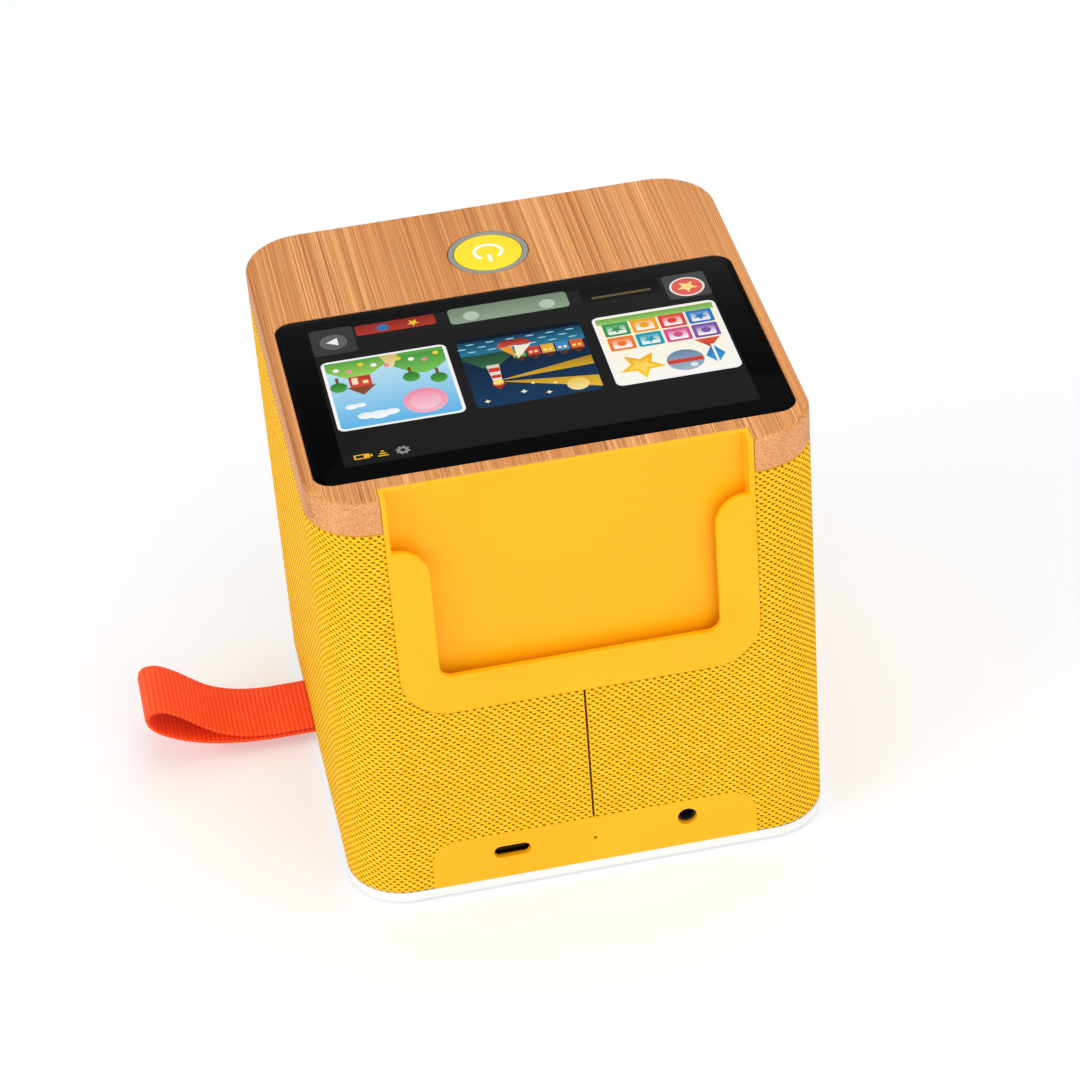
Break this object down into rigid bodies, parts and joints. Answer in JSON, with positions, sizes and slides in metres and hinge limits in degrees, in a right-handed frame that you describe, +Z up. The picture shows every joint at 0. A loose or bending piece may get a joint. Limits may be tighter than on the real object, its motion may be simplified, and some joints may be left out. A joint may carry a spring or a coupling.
{
  "type": "audio story player",
  "caption": "Cube-shaped children's audio player with a bamboo top, touch display, knitted cover, card pocket and carrying strap.",
  "frame": {"origin": "middle of the foot pad's underside, on the surface that the player stands on", "axes": "+Z up; -Y is the side with the card pocket and the sockets, +Y the listening side; the strap leaves on the -X side"},
  "size_m": [0.165, 0.126, 0.122],
  "materials": {
    "bamboo": "satin lacquer",
    "cover_glass": "polished black",
    "display_module": "satin",
    "steel_sheet": "zinc-plated",
    "screw_steel": "zinc-plated",
    "grey_plastic": "fine matt",
    "yellow_plastic": "satin",
    "black_plastic": "moulded",
    "circuit_board": "solder mask",
    "white_plastic": "satin",
    "knitted_cloth": "knitted",
    "webbing": "woven",
    "foot_rubber": "matt",
    "battery_wrap": "shrink film",
    "ferrite": "sintered",
    "paper_cone": "pressed",
    "coil_copper": "lacquered wire",
    "soft_rubber": "matt",
    "treated_cloth": "resin-set",
    "foam": "foam"
  },
  "bodies": {
    "case": {"bamboo_top": "bamboo", "display_glass": "cover_glass", "lcd_module": "display_module", "display_bracket": "steel_sheet", "bracket_screws": "screw_steel", "button_ring": "grey_plastic", "button_switch": "black_plastic", "button_board": "circuit_board", "button_board_screws": "screw_steel", "case_shell": "white_plastic", "deck_screws": "screw_steel", "cloth_sleeve": "knitted_cloth", "card_tray": "yellow_plastic", "card_reader_board": "circuit_board", "socket_panel": "yellow_plastic", "main_board": "circuit_board", "board_screws": "screw_steel", "processor_shield": "steel_sheet", "board_connectors": "black_plastic", "usb_socket": "steel_sheet", "headphone_socket": "black_plastic", "reset_switch": "black_plastic", "base_plate": "white_plastic", "foot_pad": "foot_rubber", "base_screws": "screw_steel", "battery_pack": "battery_wrap", "battery_clamp": "white_plastic", "clamp_screws": "screw_steel", "speaker_basket": "steel_sheet", "speaker_top_plate": "steel_sheet", "speaker_magnet": "ferrite", "speaker_yoke": "steel_sheet", "speaker_surround": "soft_rubber", "speaker_spider": "treated_cloth", "speaker_gasket": "foam", "speaker_screws": "screw_steel", "strap_end": "webbing", "strap_clamp": "white_plastic", "strap_screws": "screw_steel"},
    "button": {"button_cap": "yellow_plastic", "switch_actuator": "black_plastic"},
    "reset_pin": {"reset_pin_actuator": "black_plastic"},
    "cone": {"speaker_cone": "paper_cone", "voice_coil": "coil_copper", "dust_cap": "black_plastic"},
    "strap": {"strap_loop": "webbing"}
  },
  "joints": [
    {"name": "button_press", "type": "slide", "parent": "case", "child": "button", "axis": [0, 0, -1], "range_m": [0, 0.0006], "stiffness_N_per_m": 3000},
    {"name": "reset_press", "type": "slide", "parent": "case", "child": "reset_pin", "axis": [0, 1, 0], "range_m": [0, 0.0003], "stiffness_N_per_m": 3000},
    {"name": "cone_stroke", "type": "slide", "parent": "case", "child": "cone", "axis": [0, 1, 0], "range_m": [-0.0015, 0.0015], "stiffness_N_per_m": 1500},
    {"name": "strap_flex", "type": "hinge", "parent": "case", "child": "strap", "pos_m": [-0.06255, 0.0175, 0.00485], "axis": [0, 1, 0], "range_deg": [-12, 60], "stiffness_Nm_per_rad": 0.04}
  ]
}
